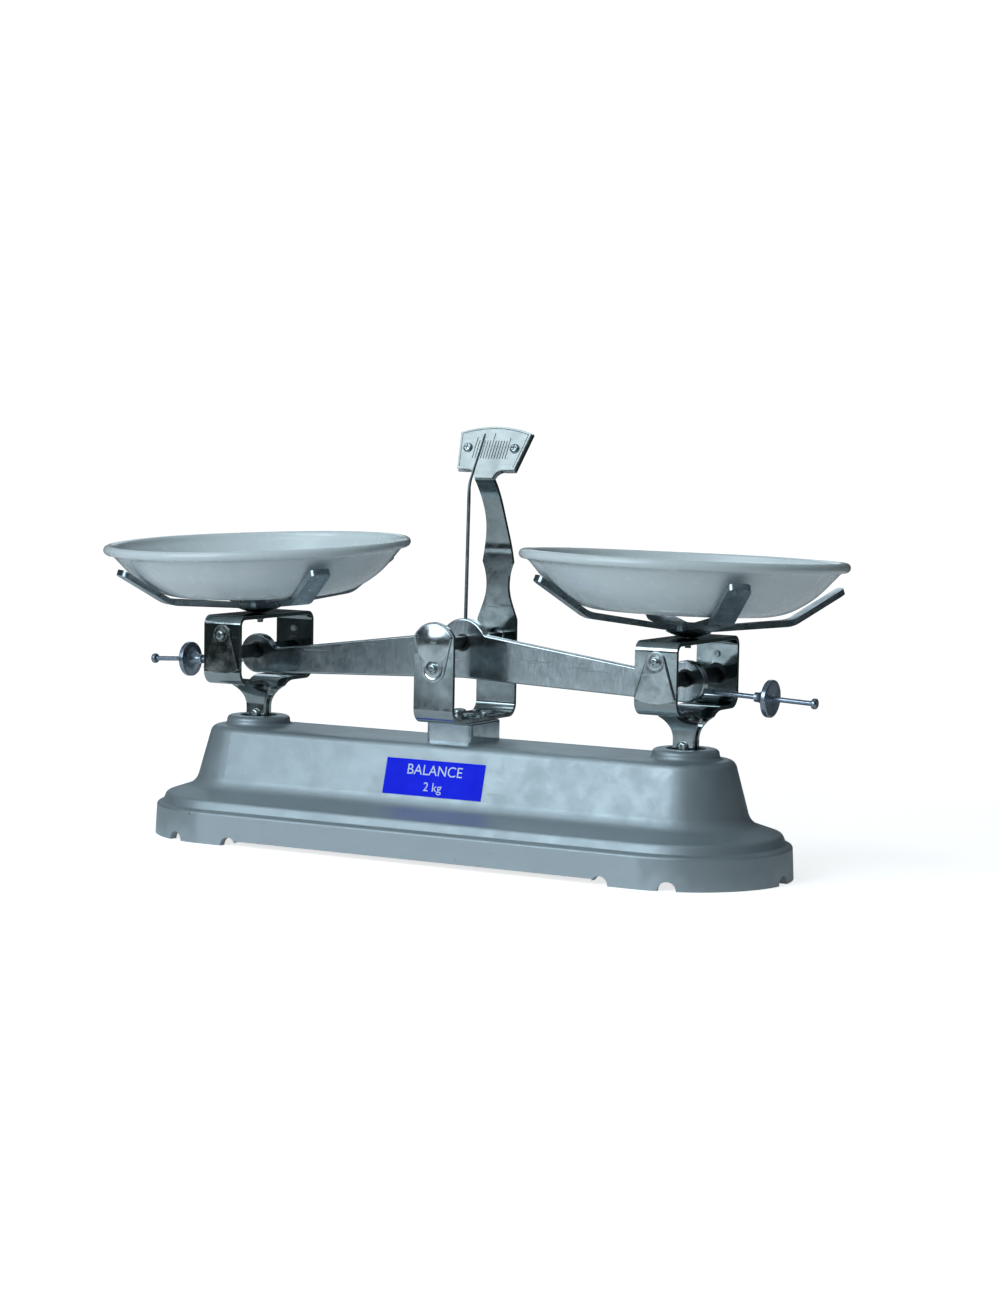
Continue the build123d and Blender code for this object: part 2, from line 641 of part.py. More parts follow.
# ------------------------------------------------------------------ yokes
def make_yokes():
    """Loops of strip: top, two walls, and lower ends that narrow into a two-layer stem."""
    inner = YOKE_HALF_DEPTH - STRIP
    outer_y = STEM_INNER_Y + STRIP
    for side, s in SIDES.items():
        x = s * ARM
        with BuildPart() as yoke:
            with BuildSketch(Plane.YZ.offset(x - YOKE_W / 2)):
                with BuildLine():
                    FilletPolyline(
                        (outer_y, STEM_END_Z), (outer_y, YOKE_FLOOR_Z), (YOKE_HALF_DEPTH, YOKE_FLOOR_Z),
                        (YOKE_HALF_DEPTH, YOKE_TOP_Z), (0, YOKE_TOP_Z), (0, YOKE_TOP_Z - STRIP),
                        (inner, YOKE_TOP_Z - STRIP), (inner, YOKE_FLOOR_Z + STRIP),
                        (STEM_INNER_Y, YOKE_FLOOR_Z + STRIP), (STEM_INNER_Y, STEM_END_Z),
                        radius=[0, 12, 7, 5, 0, 0, 3, 5, 14, 0], close=True)
                make_face()
                mirror(about=Plane.YZ)
            extrude(amount=YOKE_W)
            with BuildSketch(Plane.XZ.offset(-40)):
                with BuildLine():
                    half = YOKE_W / 2
                    stem = Line((x + STEM_HALF_W, STEM_END_Z - 1), (x + STEM_HALF_W, 66))
                    flare = RadiusArc(stem @ 1, (x + half, 77.3), 13.9)
                    Polyline(flare @ 1, (x + half, 120), (x - half, 120), (x - half, 77.3))
                    other = RadiusArc((x - half, 77.3), (x - STEM_HALF_W, 66), 13.9)
                    Polyline(other @ 1, (x - STEM_HALF_W, STEM_END_Z - 1), stem @ 0)
                make_face()
            extrude(amount=80, mode=Mode.INTERSECT)
            with BuildSketch(Plane.XZ.offset(-40)):
                with Locations((x, YOKE_HOLE_Z)):
                    Circle(BEARING_R)
                with Locations((x, YOKE_SCREW_Z)):
                    Circle(YOKE_SCREW_R)
                with Locations((x, STEM_SCREW_Z)):
                    Circle(M3_R)
            extrude(amount=80, mode=Mode.SUBTRACT)
            with Locations((x, 0, YOKE_TOP_Z)):
                Hole(1.8, depth=STRIP)
        save(yoke.part, f"yoke_{side}")


def make_yoke_bearings():
    """Groove inserts of the yokes, open downwards, that hang on the end knives."""
    inner = YOKE_HALF_DEPTH - STRIP
    for side, s in SIDES.items():
        for name, out in (("front", -1), ("back", 1)):
            part = v_groove_insert(out * YOKE_HALF_DEPTH, out * inner, YOKE_HOLE_Z, END_EDGE_Z, -1, s * ARM)
            save(part, f"yoke_{side}_bearing_{name}")


def make_yoke_covers():
    """Cover plates: small round head at the screw, straight sides, wide bowed foot."""
    foot_half, foot_z = YOKE_COVER_FOOT
    for side, s in SIDES.items():
        for name, out in (("front", -1), ("back", 1)):
            plane = Plane(origin=(s * ARM, out * YOKE_HALF_DEPTH, 0), x_dir=(-out, 0, 0), z_dir=(0, out, 0))
            with BuildPart() as cover:
                with BuildSketch(plane):
                    with BuildLine():
                        head = CenterArc((0, YOKE_SCREW_Z), YOKE_COVER_HEAD_R, 18, 144)
                        foot = ThreePointArc((-foot_half, foot_z), (0, foot_z - YOKE_COVER_SAG),
                                             (foot_half, foot_z))
                        Line(head @ 1, foot @ 0)
                        Line(foot @ 1, head @ 0)
                    make_face()
                    with Locations((0, YOKE_SCREW_Z)):
                        Circle(YOKE_SCREW_R, mode=Mode.SUBTRACT)
                extrude(amount=YOKE_COVER_T)
            save(cover.part, f"yoke_{side}_cover_{name}")
            screw_plane = Plane(origin=(s * ARM, out * (YOKE_HALF_DEPTH + YOKE_COVER_T), YOKE_SCREW_Z),
                                z_dir=(0, out, 0))
            screw = pan_head_screw(screw_plane, 2.6, 1.7, YOKE_SCREW_R, YOKE_COVER_T + STRIP + 0.9)
            save(screw, f"yoke_{side}_screw_{name}")


def make_stem_bars():
    """Lower bars held between the stem's two layers, down to the lower stay."""
    for side, s in SIDES.items():
        x = s * ARM
        with BuildPart() as bar:
            with BuildSketch(Plane.XZ.offset(STEM_INNER_Y)):
                with BuildLine():
                    half, top_z = STEM_BAR_HALF_W, STEM_SCREW_Z + 7.5
                    foot = ThreePointArc((x - half, STAY_END_Z), (x, STAY_END_Z - half),
                                         (x + half, STAY_END_Z))
                    Polyline(foot @ 1, (x + half, top_z), (x - half, top_z), foot @ 0)
                make_face()
                with Locations((x, STAY_END_Z)):
                    Circle(M3_R + STAY_PIN_PLAY, mode=Mode.SUBTRACT)
                with Locations((x, STEM_SCREW_Z)):
                    Circle(M3_R, mode=Mode.SUBTRACT)
            extrude(amount=-2 * STEM_INNER_Y)
        save(bar.part, f"stem_bar_{side}")
        plane = Plane(origin=(x, -(STEM_INNER_Y + STRIP), STEM_SCREW_Z), z_dir=(0, -1, 0))
        save(pan_head_screw(plane, 3.0, 1.8, M3_R, 2 * (STEM_INNER_Y + STRIP) + 1.5), f"stem_screw_{side}")


def make_hub_screws():
    """Screws through the yoke's top, on which the spiders turn, and their nuts below."""
    for side in SIDES:
        plane = hub_plane(side)
        head = plane.offset(SPIDER_Z + SPIDER_T + 0.15)
        length = SPIDER_Z + SPIDER_T + 0.15 + HUB_GAP + STRIP + 3.0
        save(pan_head_screw(head, 3.2, 1.3, M3_R, length), f"hub_screw_{side}")
        with BuildPart() as nut:
            with BuildSketch(plane.offset(-HUB_GAP - STRIP - HUB_NUT_GAP)):
                Circle(2.2)
                Circle(M3_R, mode=Mode.SUBTRACT)
            extrude(amount=-1.2)
        save(nut.part, f"hub_nut_{side}")


# ------------------------------------------------------------------ spiders and pans
def make_spiders():
    """Four bent arms stamped from one sheet, tilted with the hub."""
    bend_z = SPIDER_Z + (ARM_BEND_R - ARM_ROOT_R) * tan(radians(ARM_LOW_SLOPE))
    tip_z = bend_z + (ARM_TIP_R - ARM_BEND_R) * tan(radians(ARM_HIGH_SLOPE))
    rise_low = SPIDER_T / cos(radians(ARM_LOW_SLOPE))
    rise_high = SPIDER_T / cos(radians(ARM_HIGH_SLOPE))
    for side in SIDES:
        plane = hub_plane(side)
        with BuildPart() as spider:
            with BuildSketch(plane.offset(SPIDER_Z)):
                Circle(SPIDER_HUB_R)
            extrude(amount=SPIDER_T)
            for angle in ARM_ANGLES:
                local = Plane(plane.location * Location((0, 0, 0), (0, 0, angle + SPIDER_TURN[side])))
                section = Plane(origin=local.origin - local.y_dir * (SPIDER_W / 2), x_dir=local.x_dir,
                                z_dir=local.y_dir * -1)
                with BuildSketch(section):
                    with BuildLine():
                        FilletPolyline(
                            (2, SPIDER_Z), (ARM_ROOT_R, SPIDER_Z), (ARM_BEND_R, bend_z),
                            (ARM_TIP_R, tip_z), (ARM_TIP_R - 1.0, tip_z + rise_high - 0.6),
                            (ARM_BEND_R, bend_z + rise_high), (ARM_ROOT_R, SPIDER_Z + rise_low),
                            (2, SPIDER_Z + SPIDER_T),
                            radius=[0, 8, 14, 0, 0, 12, 6, 0], close=True)
                    make_face()
                extrude(amount=-SPIDER_W)
            tips = spider.edges().filter_by(
                lambda e: abs(e.length - SPIDER_T) < 0.35
                and (e.center() - plane.origin).length > ARM_TIP_R - 1)
            fillet(tips, 3.2)
            with BuildSketch(plane):
                Circle(M3_R + RUNNING)
            extrude(amount=SPIDER_Z + 2 * SPIDER_T, mode=Mode.SUBTRACT)
        save(spider.part, f"spider_{side}")


def make_hub_washers():
    """Dished washers between the yokes and the spiders."""
    for side in SIDES:
        plane = hub_plane(side)
        section = Plane(origin=plane.origin, x_dir=plane.x_dir, z_dir=plane.y_dir * -1)
        with BuildPart() as washer:
            with BuildSketch(section):
                with BuildLine():
                    bore = M3_R + RUNNING
                    Line((bore, 0), (3.5, 0))
                    low = ThreePointArc((3.5, 0), (7.8, 1.1), (11.2, SPIDER_Z - 0.5))
                    Line(low @ 1, (10.6, SPIDER_Z))
                    high = ThreePointArc((10.6, SPIDER_Z), (7.2, 1.9), (3.2, 1.2))
                    Polyline(high @ 1, (bore, 1.2), (bore, 0))
                make_face()
            revolve(axis=Axis(plane.origin, plane.z_dir))
        save(washer.part, f"hub_washer_{side}")


def make_pans():
    """Shallow dishes with a flat bottom and a rolled lip."""
    lip_r = PAN_R - PAN_LIP_R
    lip_z = PAN_Z + PAN_DEPTH - PAN_LIP_R
    for side in SIDES:
        plane = pan_plane(side)
        section = Plane(origin=plane.origin, x_dir=plane.x_dir, z_dir=plane.y_dir * -1)
        with BuildPart() as pan:
            with BuildSketch(section):
                with BuildLine():
                    bottom = Line((0, PAN_Z), (PAN_FLAT_R, PAN_Z))
                    bowl = Spline(bottom @ 1, *[(r, PAN_Z + z) for r, z in PAN_OUTSIDE],
                                  tangents=[(1, 0), (0.62, 0.78)])
                    inside = Spline(*[(r, PAN_Z + z) for r, z in PAN_INSIDE],
                                    (PAN_FLAT_R, PAN_Z + PAN_WALL), tangents=[(-0.62, -0.78), (-1, 0)])
                    Line(bowl @ 1, inside @ 0)
                    Polyline(inside @ 1, (0, PAN_Z + PAN_WALL), bottom @ 0)
                make_face()
                with Locations((lip_r, lip_z)):
                    Circle(PAN_LIP_R)
            revolve(axis=Axis(plane.origin, plane.z_dir))
        save(pan.part, f"pan_{side}")


# ------------------------------------------------------------------ lower stay inside the base
def make_lower_stay():
    """Stay bar with a slotted end round each stem bar, parallel to the knife line."""
    half_t, slot, reach = 3.0, 1.9, ARM + 6
    with BuildPart() as stay:
        with BuildSketch(Plane.XZ):
            with BuildLine():
                FilletPolyline(
                    (-reach, STAY_END_Z - 5), (0, STAY_Z - 6), (reach, STAY_END_Z - 5),
                    (reach, STAY_END_Z + 5), (0, STAY_Z + 6), (-reach, STAY_END_Z + 5),
                    radius=[3, 0, 3, 3, 0, 3], close=True)
            make_face()
            with Locations((0, STAY_Z)):
                Circle(STAY_PIVOT_R + RUNNING, mode=Mode.SUBTRACT)
            with Locations((-ARM, STAY_END_Z), (ARM, STAY_END_Z)):
                Circle(M3_R, mode=Mode.SUBTRACT)
        extrude(amount=half_t, both=True)
        for s in SIDES.values():
            with BuildSketch(Plane.XY):
                with Locations((s * (ARM + 3), 0)):
                    Rectangle(22, 2 * slot)
            extrude(amount=STAY_Z + 20, mode=Mode.SUBTRACT)
    save(stay.part, "lower_stay")
    for side, s in SIDES.items():
        with BuildPart() as pin:
            with BuildSketch(Plane.XZ.offset(-half_t - 0.6)):
                with Locations((s * ARM, STAY_END_Z)):
                    Circle(M3_R)
            extrude(amount=2 * (half_t + 0.6))
        save(pin.part, f"stay_pin_{side}")


def make_stay_hanger():
    """Bent bracket under the base top that carries the stay, with its pin and the screws' nuts."""
    top_z = BASE_TOP_Z - BASE_WALL
    cheek_in, cheek_out = 4.2, 5.8
    with BuildPart() as hanger:
        with BuildSketch(Plane.XY.offset(top_z)):
            Rectangle(26, 28)
        extrude(amount=-STRIP)
        for s in (-1, 1):
            with BuildSketch(Plane.XZ.offset(-s * cheek_in)):
                with BuildLine():
                    Polyline((-4, top_z - STRIP / 2), (-5, STAY_Z))
                    ThreePointArc((-5, STAY_Z), (0, STAY_Z - 5), (5, STAY_Z))
                    Polyline((5, STAY_Z), (4, top_z - STRIP / 2), (-4, top_z - STRIP / 2))
                make_face()
                with Locations((0, STAY_Z)):
                    Circle(STAY_PIVOT_R, mode=Mode.SUBTRACT)
            extrude(amount=-s * (cheek_out - cheek_in))
        with Locations((0, 0, top_z)):
            with GridLocations(*FLOOR_SCREW_XY, 2, 2):
                Hole(FLOOR_SCREW_R, depth=STRIP)
    save(hanger.part, "stay_hanger")
    with BuildPart() as pin:
        with BuildSketch(Plane.XZ.offset(-cheek_out - 0.8)):
            with Locations((0, STAY_Z)):
                Circle(STAY_PIVOT_R)
        extrude(amount=2 * (cheek_out + 0.8))
    save(pin.part, "stay_pivot")
    with BuildPart() as nuts:
        with BuildSketch(Plane.XY.offset(top_z - STRIP)):
            with GridLocations(*FLOOR_SCREW_XY, 2, 2):
                RegularPolygon(3.6, 6)
                Circle(FLOOR_SCREW_R, mode=Mode.SUBTRACT)
        extrude(amount=-3.0)
    save(nuts.part, "floor_nuts")


make_base_casting()
make_centre_block()
make_label()
make_fork_post()
make_fork_bearings()
make_fork_covers()
make_fork_screws()
make_scale_plate()
make_scale_screws()
make_beam()
make_knives()
make_pointer()
make_balance_screws()
make_balance_nuts()
make_yokes()
make_yoke_bearings()
make_yoke_covers()
make_stem_bars()
make_hub_screws()
make_spiders()
make_hub_washers()
make_pans()
make_lower_stay()
make_stay_hanger()
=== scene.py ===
"""Looks of the two-pan table balance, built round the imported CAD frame.

Lengths are millimetres until they become mesh coordinates, which are metres. The node graphs,
the floor and the lights are in metres throughout. X runs along the beam, -Y faces the user and
+Z is up, as in the frame.
"""
import json
from math import cos, hypot, pi, radians, sin, sqrt

import bmesh
import bpy
from mathutils import Matrix, Vector

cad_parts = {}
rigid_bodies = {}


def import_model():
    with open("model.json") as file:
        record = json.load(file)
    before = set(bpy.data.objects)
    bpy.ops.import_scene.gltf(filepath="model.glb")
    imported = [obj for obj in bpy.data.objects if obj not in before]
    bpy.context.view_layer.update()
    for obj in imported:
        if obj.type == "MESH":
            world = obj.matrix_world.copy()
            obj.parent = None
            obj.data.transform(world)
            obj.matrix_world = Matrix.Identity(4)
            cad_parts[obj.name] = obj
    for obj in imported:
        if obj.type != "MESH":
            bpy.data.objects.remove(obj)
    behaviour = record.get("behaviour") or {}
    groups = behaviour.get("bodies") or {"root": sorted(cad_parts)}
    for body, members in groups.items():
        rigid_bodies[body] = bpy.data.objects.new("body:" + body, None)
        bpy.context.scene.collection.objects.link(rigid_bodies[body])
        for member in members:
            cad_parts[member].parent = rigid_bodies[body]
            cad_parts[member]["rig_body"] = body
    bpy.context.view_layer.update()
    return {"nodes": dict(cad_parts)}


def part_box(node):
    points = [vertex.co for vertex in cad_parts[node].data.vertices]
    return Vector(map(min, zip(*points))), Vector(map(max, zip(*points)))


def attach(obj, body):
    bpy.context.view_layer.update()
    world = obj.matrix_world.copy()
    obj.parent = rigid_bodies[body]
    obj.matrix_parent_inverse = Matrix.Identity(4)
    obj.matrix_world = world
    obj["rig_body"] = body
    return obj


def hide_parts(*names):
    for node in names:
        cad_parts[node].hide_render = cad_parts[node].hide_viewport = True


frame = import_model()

nodes = frame["nodes"]

MM = 0.001

# ------------------------------------------------------------------ driving dimensions, mm
ARM = 125.0                         # centre knife to each end knife
SIDES = {"left": -1, "right": 1}
EDGE_ROUNDING = {"fork_post": 0.35, "yoke_left": 0.35, "yoke_right": 0.35, "spider_left": 0.35,
                 "spider_right": 0.35, "scale_plate": 0.15}

# Dishes, measured from the hub plane; profile points are (radius, height)
HUB_Z = 115.95
PAN_LEAN = {"left": (-0.025, -0.040), "right": (0.0145, 0.0325)}
PAN_SHIFT = {"left": (0.0, -0.9), "right": (-4.2, 1.0)}     # along the beam, and up
PAN_R = 80.2
PAN_LIP_R = 2.4
PAN_LIP_TURN = (-112, 168)          # degrees at which the rolled lip starts and ends
PAN_WALL = 1.8
PAN_DEPTH = 27.8
PAN_Z = 10.6
PAN_FLAT = (0.02, 20.0, 38.0)       # radii of the profile's points on the flat floor
PAN_OUTSIDE = ((46.0, 0.8), (54.5, 3.8), (65.0, 11.0), (75.2, 22.0))
PAN_INSIDE = ((74.9, 24.3), (63.8, 12.4), (53.6, 5.4), (45.6, 2.6))
PAN_WAVES = ((0.16, 2, 0.7), (0.07, 5, 0.0))    # at the lip: height, waves in a turn, phase
PAN_SETTLE = (0.1, 0.2)             # how far the lip is drawn in and down to make room for them

# Covers on the fork and the yokes; corners are (half-width, height)
YOKE_HALF_DEPTH = 34.25
YOKE_SCREW_Z = 105.9
YOKE_COVER_HEAD_R = 5.2
YOKE_COVER_NECK = (4.945, 107.507)  # where the round head ends
YOKE_COVER_FOOT = (10.9, 88.4)      # and where the bowed foot begins
YOKE_COVER_FOOT_R = 25.95
YOKE_COVER_LOW_Z = 86.0
YOKE_COVER_T = 0.92
YOKE_COVER_DENT = 0.07
YOKE_COVER_RING = (3.9, 0.6, 0.12)  # ring pressed round the screw: radius, half-width, depth
FORK_FRONT_Y = -30.5
FORK_BACK_Y = 33.3
FORK_HOLE_Z = 107.5
FORK_SCREW_Z = 95.2
FORK_COVER_FOOT_R = 6.6
FORK_COVER_FOOT = (6.2, 92.94)      # where the round foot ends
FORK_COVER_HEAD = (10.4, 111.3)     # and where the crown begins
FORK_COVER_CROWN_R = 11.734
FORK_COVER_TOP_Z = 117.6
FORK_COVER_T = 0.9
FORK_COVER_RING = (4.3, 0.5, 0.35)
BULGE_RISE = 1.0                    # middle of the bulge above the bearing's
BULGE_R = 10.4
BULGE_H = 1.9
BULGE_POWER = 1.6
COVER_FACE_INSET = 0.30
COVER_RIM = ((0.12, 0.06), (0.03, 0.16), (0.0, 0.30), (0.0, 9.0))   # inset and drop of its rows
COVER_END = 0.02                    # share of a cover's height that its grid leaves at each end

# Pointer
POINTER_R = 0.9
POINTER_BEND = 3.0
POINTER_POINTS = ((0, 0, 113.4), (0, 1.6, 186.3), (0, 16.8, 211.4))
POINTER_STEPS = (12, 8, 10)         # along the upright, the bend and the tip
POINTER_FLAT = (6.0, 14.0)          # thinning starts this far below the bend and takes this long
POINTER_THINNED = (0.48, 0.1)       # share of the width and of the depth that it takes away
POINTER_TIP = 0.7                   # size of the very end

# Scale plate, with distances across and up the plate from its tongue's foot
SCALE_FOOT = (0, 15.7, 188.9)
SCALE_LEAN = 29.5
SCALE_T = 1.0
SCALE_CORNER = (20.6, 26.0)         # upper corner of the plate
SCALE_CROWN = 29.6
DIVISIONS = 6                       # on each side of the middle
DIVISION = 1.6
MARK_FOOT = 11.0
MARK_TOP = {"middle": 25.6, "end": 23.2, "other": 21.5}
MARK_W = 0.44
MARK_T = 0.03
BORDER_INSET = 1.2                  # below the plate's crown
BORDER_LOW = (15.7, 6.2)
BORDER_HALF_W = 19.2                # at its upper corners
BORDER_W = 0.34
BORDER_T = 0.02

# Label on the sloping front wall, whose corners are (half-width, height)
WALL_FOOT = (32.3, 26.5)
WALL_HEAD = (24.0, 57.0)
LABEL_WORDS = (("BALANCE", 7.4, 1.6), ("2 kg", 6.4, -6.4))  # size, and height above its middle
PRINT_STAND = 0.13                  # from the middle of the label's thickness
PRINT_T = 0.012

# Camera, fitted to the photograph's perspective: degrees, mm, and pixels of the whole frame
VIEW_AZIMUTH = 29.824
VIEW_ELEVATION = 4.615
VIEW_ROLL = 0.986
VIEW_DISTANCE = 1516.37
VIEW_TARGET = (20.319, 0.0, 103.965)
FOCAL_PX = 3030.85
FRAME_PX = (1000, 1300)
SENSOR = 36.0

# ------------------------------------------------------------------ node graphs
TINT = (0.77, 0.905, 1.0)     # cool cast of the studio light


class Graph:
    """A material's node tree with short calls for the nodes that the finishes use."""

    def __init__(self, name):
        self.material = bpy.data.materials.new(name)
        self.material.use_nodes = True
        self.tree = self.material.node_tree
        self.shader = self.tree.nodes["Principled BSDF"]
        self.place = self.tree.nodes.new("ShaderNodeTexCoord").outputs["Object"]

    def node(self, kind, inputs=(), **settings):
        """New node with its settings, and each input linked or set to a plain value."""
        made = self.tree.nodes.new(kind)
        for key, value in settings.items():
            setattr(made, key, value)
        for key, value in dict(inputs).items():
            if isinstance(value, bpy.types.NodeSocket):
                self.tree.links.new(value, made.inputs[key])
            else:
                made.inputs[key].default_value = value
        return made

    def put(self, socket, value):
        """Link another node's output to a socket, or set it; a tuple is a colour."""
        if isinstance(value, bpy.types.NodeSocket):
            self.tree.links.new(value, socket)
        elif isinstance(value, tuple):
            socket.default_value = (*value, 1.0)
        else:
            socket.default_value = value

    def noise(self, scale, detail=3.0, stretch=(1, 1, 1), rough=0.5, distortion=0.0):
        """Noise whose features are about 1/scale metres, stretched along the axes."""
        mapped = self.node("ShaderNodeMapping", {"Vector": self.place, "Scale": stretch})
        made = self.node("ShaderNodeTexNoise", {
            "Vector": mapped.outputs[0], "Scale": scale, "Detail": detail,
            "Roughness": rough, "Distortion": distortion})
        return made.outputs["Fac"]

    def ramp(self, value, low, high, out_low=0.0, out_high=1.0):
        """Smooth step of value from low..high to out_low..out_high."""
        made = self.node("ShaderNodeMapRange", {
            "Value": value, "From Min": low, "From Max": high,
            "To Min": out_low, "To Max": out_high}, interpolation_type="SMOOTHSTEP")
        return made.outputs[0]

    def math(self, operation, a, b=0.0):
        """Result of an arithmetic operation on two values or outputs."""
        return self.node("ShaderNodeMath", {0: a, 1: b}, operation=operation).outputs[0]

    def mix(self, factor, a, b):
        """Colour a where factor is 0 and b where it is 1."""
        made = self.node("ShaderNodeMix", data_type="RGBA")
        for socket, value in ((made.inputs[0], factor), (made.inputs[6], a), (made.inputs[7], b)):
            self.put(socket, value)
        return made.outputs[2]

    def bump(self, height, distance, normal=None):
        """Bump of height 0..1 over distance metres, on top of another bump if given."""
        inputs = {"Height": height, "Distance": distance, "Strength": 1.0}
        if normal is not None:
            inputs["Normal"] = normal
        return self.node("ShaderNodeBump", inputs).outputs[0]

    def edges(self, low=0.52, high=0.62):
        """1 along convex edges, 0 elsewhere."""
        return self.ramp(self.node("ShaderNodeNewGeometry").outputs["Pointiness"], low, high)

    def finish(self, **sockets):
        """Set or link sockets of the shader."""
        for key, value in sockets.items():
            self.put(self.shader.inputs[key.replace("_", " ")], value)
        return self.material


def metal(name, bright, dull, rough, wave=0.0, brush=None, brush_depth=0.0, stains=0.35, edge=None):
    """Bare or plated metal.

    bright and dull are its colours, rough the lowest and highest roughness, wave the depth in
    metres of the slow unevenness of the sheet, brush the stretch of the brush lines, and edge
    the colour of worn edges.
    """
    g = Graph(name)
    cloud = g.ramp(g.noise(70, 4, rough=0.6), 0.35, 0.68)
    spots = g.ramp(g.noise(420, 5, rough=0.7), 0.50, 0.72)
    colour = g.mix(g.math("MULTIPLY", cloud, stains), bright, dull)
    colour = g.mix(g.math("MULTIPLY", spots, stains * 0.5), colour, dull)
    roughness = g.ramp(g.noise(160, 4, rough=0.65), 0.3, 0.7, *rough)
    normal = None
    if wave:
        normal = g.bump(g.noise(45, 1.5), wave, normal)
    if brush:
        lines = g.noise(900, 6, stretch=brush, rough=0.75)
        colour = g.mix(g.ramp(lines, 0.38, 0.68, 0.0, 0.6), colour, dull)
        normal = g.bump(lines, brush_depth, normal)
    scratches = g.ramp(g.noise(500, 2, stretch=(0.06, 1.0, 1.0), distortion=0.4), 0.66, 0.72)
    roughness = g.math("ADD", roughness, g.math("MULTIPLY", scratches, 0.12))
    normal = g.bump(g.noise(2600, 2), 0.000004, normal)
    if edge:
        colour = g.mix(g.math("MULTIPLY", g.edges(), 0.6), colour, edge)
    return g.finish(Base_Color=colour, Metallic=1.0, Roughness=roughness, Normal=normal)


def paint_silver():
    """Sprayed aluminium paint over a cast surface, with chips, grime and rubbed edges."""
    g = Graph("silver_paint")
    flake = g.noise(5200, 2, rough=0.8)
    drift = g.ramp(g.noise(14, 3), 0.3, 0.7)
    colour = g.mix(drift, (0.395, 0.45, 0.475), (0.365, 0.42, 0.445))
    colour = g.mix(g.ramp(flake, 0.35, 0.75, 0.0, 0.35), colour, (0.50, 0.565, 0.59))
    grime = g.ramp(g.noise(38, 6, rough=0.72), 0.58, 0.80, 0.0, 0.30)
    colour = g.mix(grime, colour, (0.20, 0.24, 0.25))
    colour = g.mix(g.math("MULTIPLY", g.edges(0.515, 0.60), 0.35), colour, (0.68, 0.75, 0.79))
    chips = g.ramp(g.noise(260, 3, rough=0.8, distortion=0.3), 0.735, 0.755)
    colour = g.mix(chips, colour, (0.09, 0.10, 0.10))
    scuffs = g.ramp(g.noise(330, 3, stretch=(0.07, 1, 0.5), distortion=0.5), 0.70, 0.76, 0.0, 0.5)
    colour = g.mix(scuffs, colour, (0.30, 0.35, 0.37))
    roughness = g.ramp(g.noise(90, 5, rough=0.7), 0.3, 0.7, 0.42, 0.54)
    normal = g.bump(g.noise(30, 2), 0.00007)
    normal = g.bump(g.noise(620, 4, rough=0.7), 0.00007, normal)
    normal = g.bump(g.math("SUBTRACT", 1.0, chips), 0.00006, normal)
    return g.finish(Base_Color=colour, Metallic=0.66, Roughness=roughness, Normal=normal)


def enamel_white():
    """Vitreous enamel of the dishes: glossy, a little uneven, with a few pin marks."""
    g = Graph("white_enamel")
    drift = g.ramp(g.noise(22, 3), 0.3, 0.7)
    colour = g.mix(drift, (0.87, 0.92, 0.93), (0.83, 0.90, 0.90))
    pins = g.ramp(g.noise(700, 3, rough=0.8), 0.78, 0.81)
    colour = g.mix(g.math("MULTIPLY", pins, 0.5), colour, (0.30, 0.33, 0.34))
    rubs = g.ramp(g.noise(40, 6, rough=0.7), 0.5, 0.8, 0.0, 0.08)
    colour = g.mix(rubs, colour, (0.62, 0.70, 0.70))
    roughness = g.ramp(g.noise(130, 4), 0.3, 0.7, 0.16, 0.30)
    normal = g.bump(g.noise(24, 1.5), 0.00012)
    normal = g.bump(g.noise(900, 2), 0.000006, normal)
    return g.finish(Base_Color=colour, Roughness=roughness, Normal=normal, Coat_Weight=0.35,
                    Coat_Roughness=0.12)


def film_blue():
    """Printed plastic film of the label."""
    g = Graph("blue_film")
    drift = g.ramp(g.noise(60, 4), 0.3, 0.7)
    colour = g.mix(drift, (0.010, 0.026, 1.0), (0.007, 0.019, 0.92))
    rub = g.ramp(g.noise(420, 5, rough=0.75), 0.62, 0.80, 0.0, 0.12)
    colour = g.mix(rub, colour, (0.10, 0.16, 0.90))
    roughness = g.ramp(g.noise(200, 4), 0.3, 0.7, 0.45, 0.60)
    normal = g.bump(g.noise(160, 3), 0.00003)
    return g.finish(Base_Color=colour, Roughness=roughness, Normal=normal, Specular_IOR_Level=0.08)


def ink(name, colour, faded):
    """Printed ink, thinner in places."""
    g = Graph(name)
    worn = g.ramp(g.noise(900, 5, rough=0.75), 0.45, 0.8)
    roughness = g.ramp(g.noise(500, 3), 0.3, 0.7, 0.45, 0.65)
    return g.finish(Base_Color=g.mix(worn, colour, faded), Roughness=roughness)


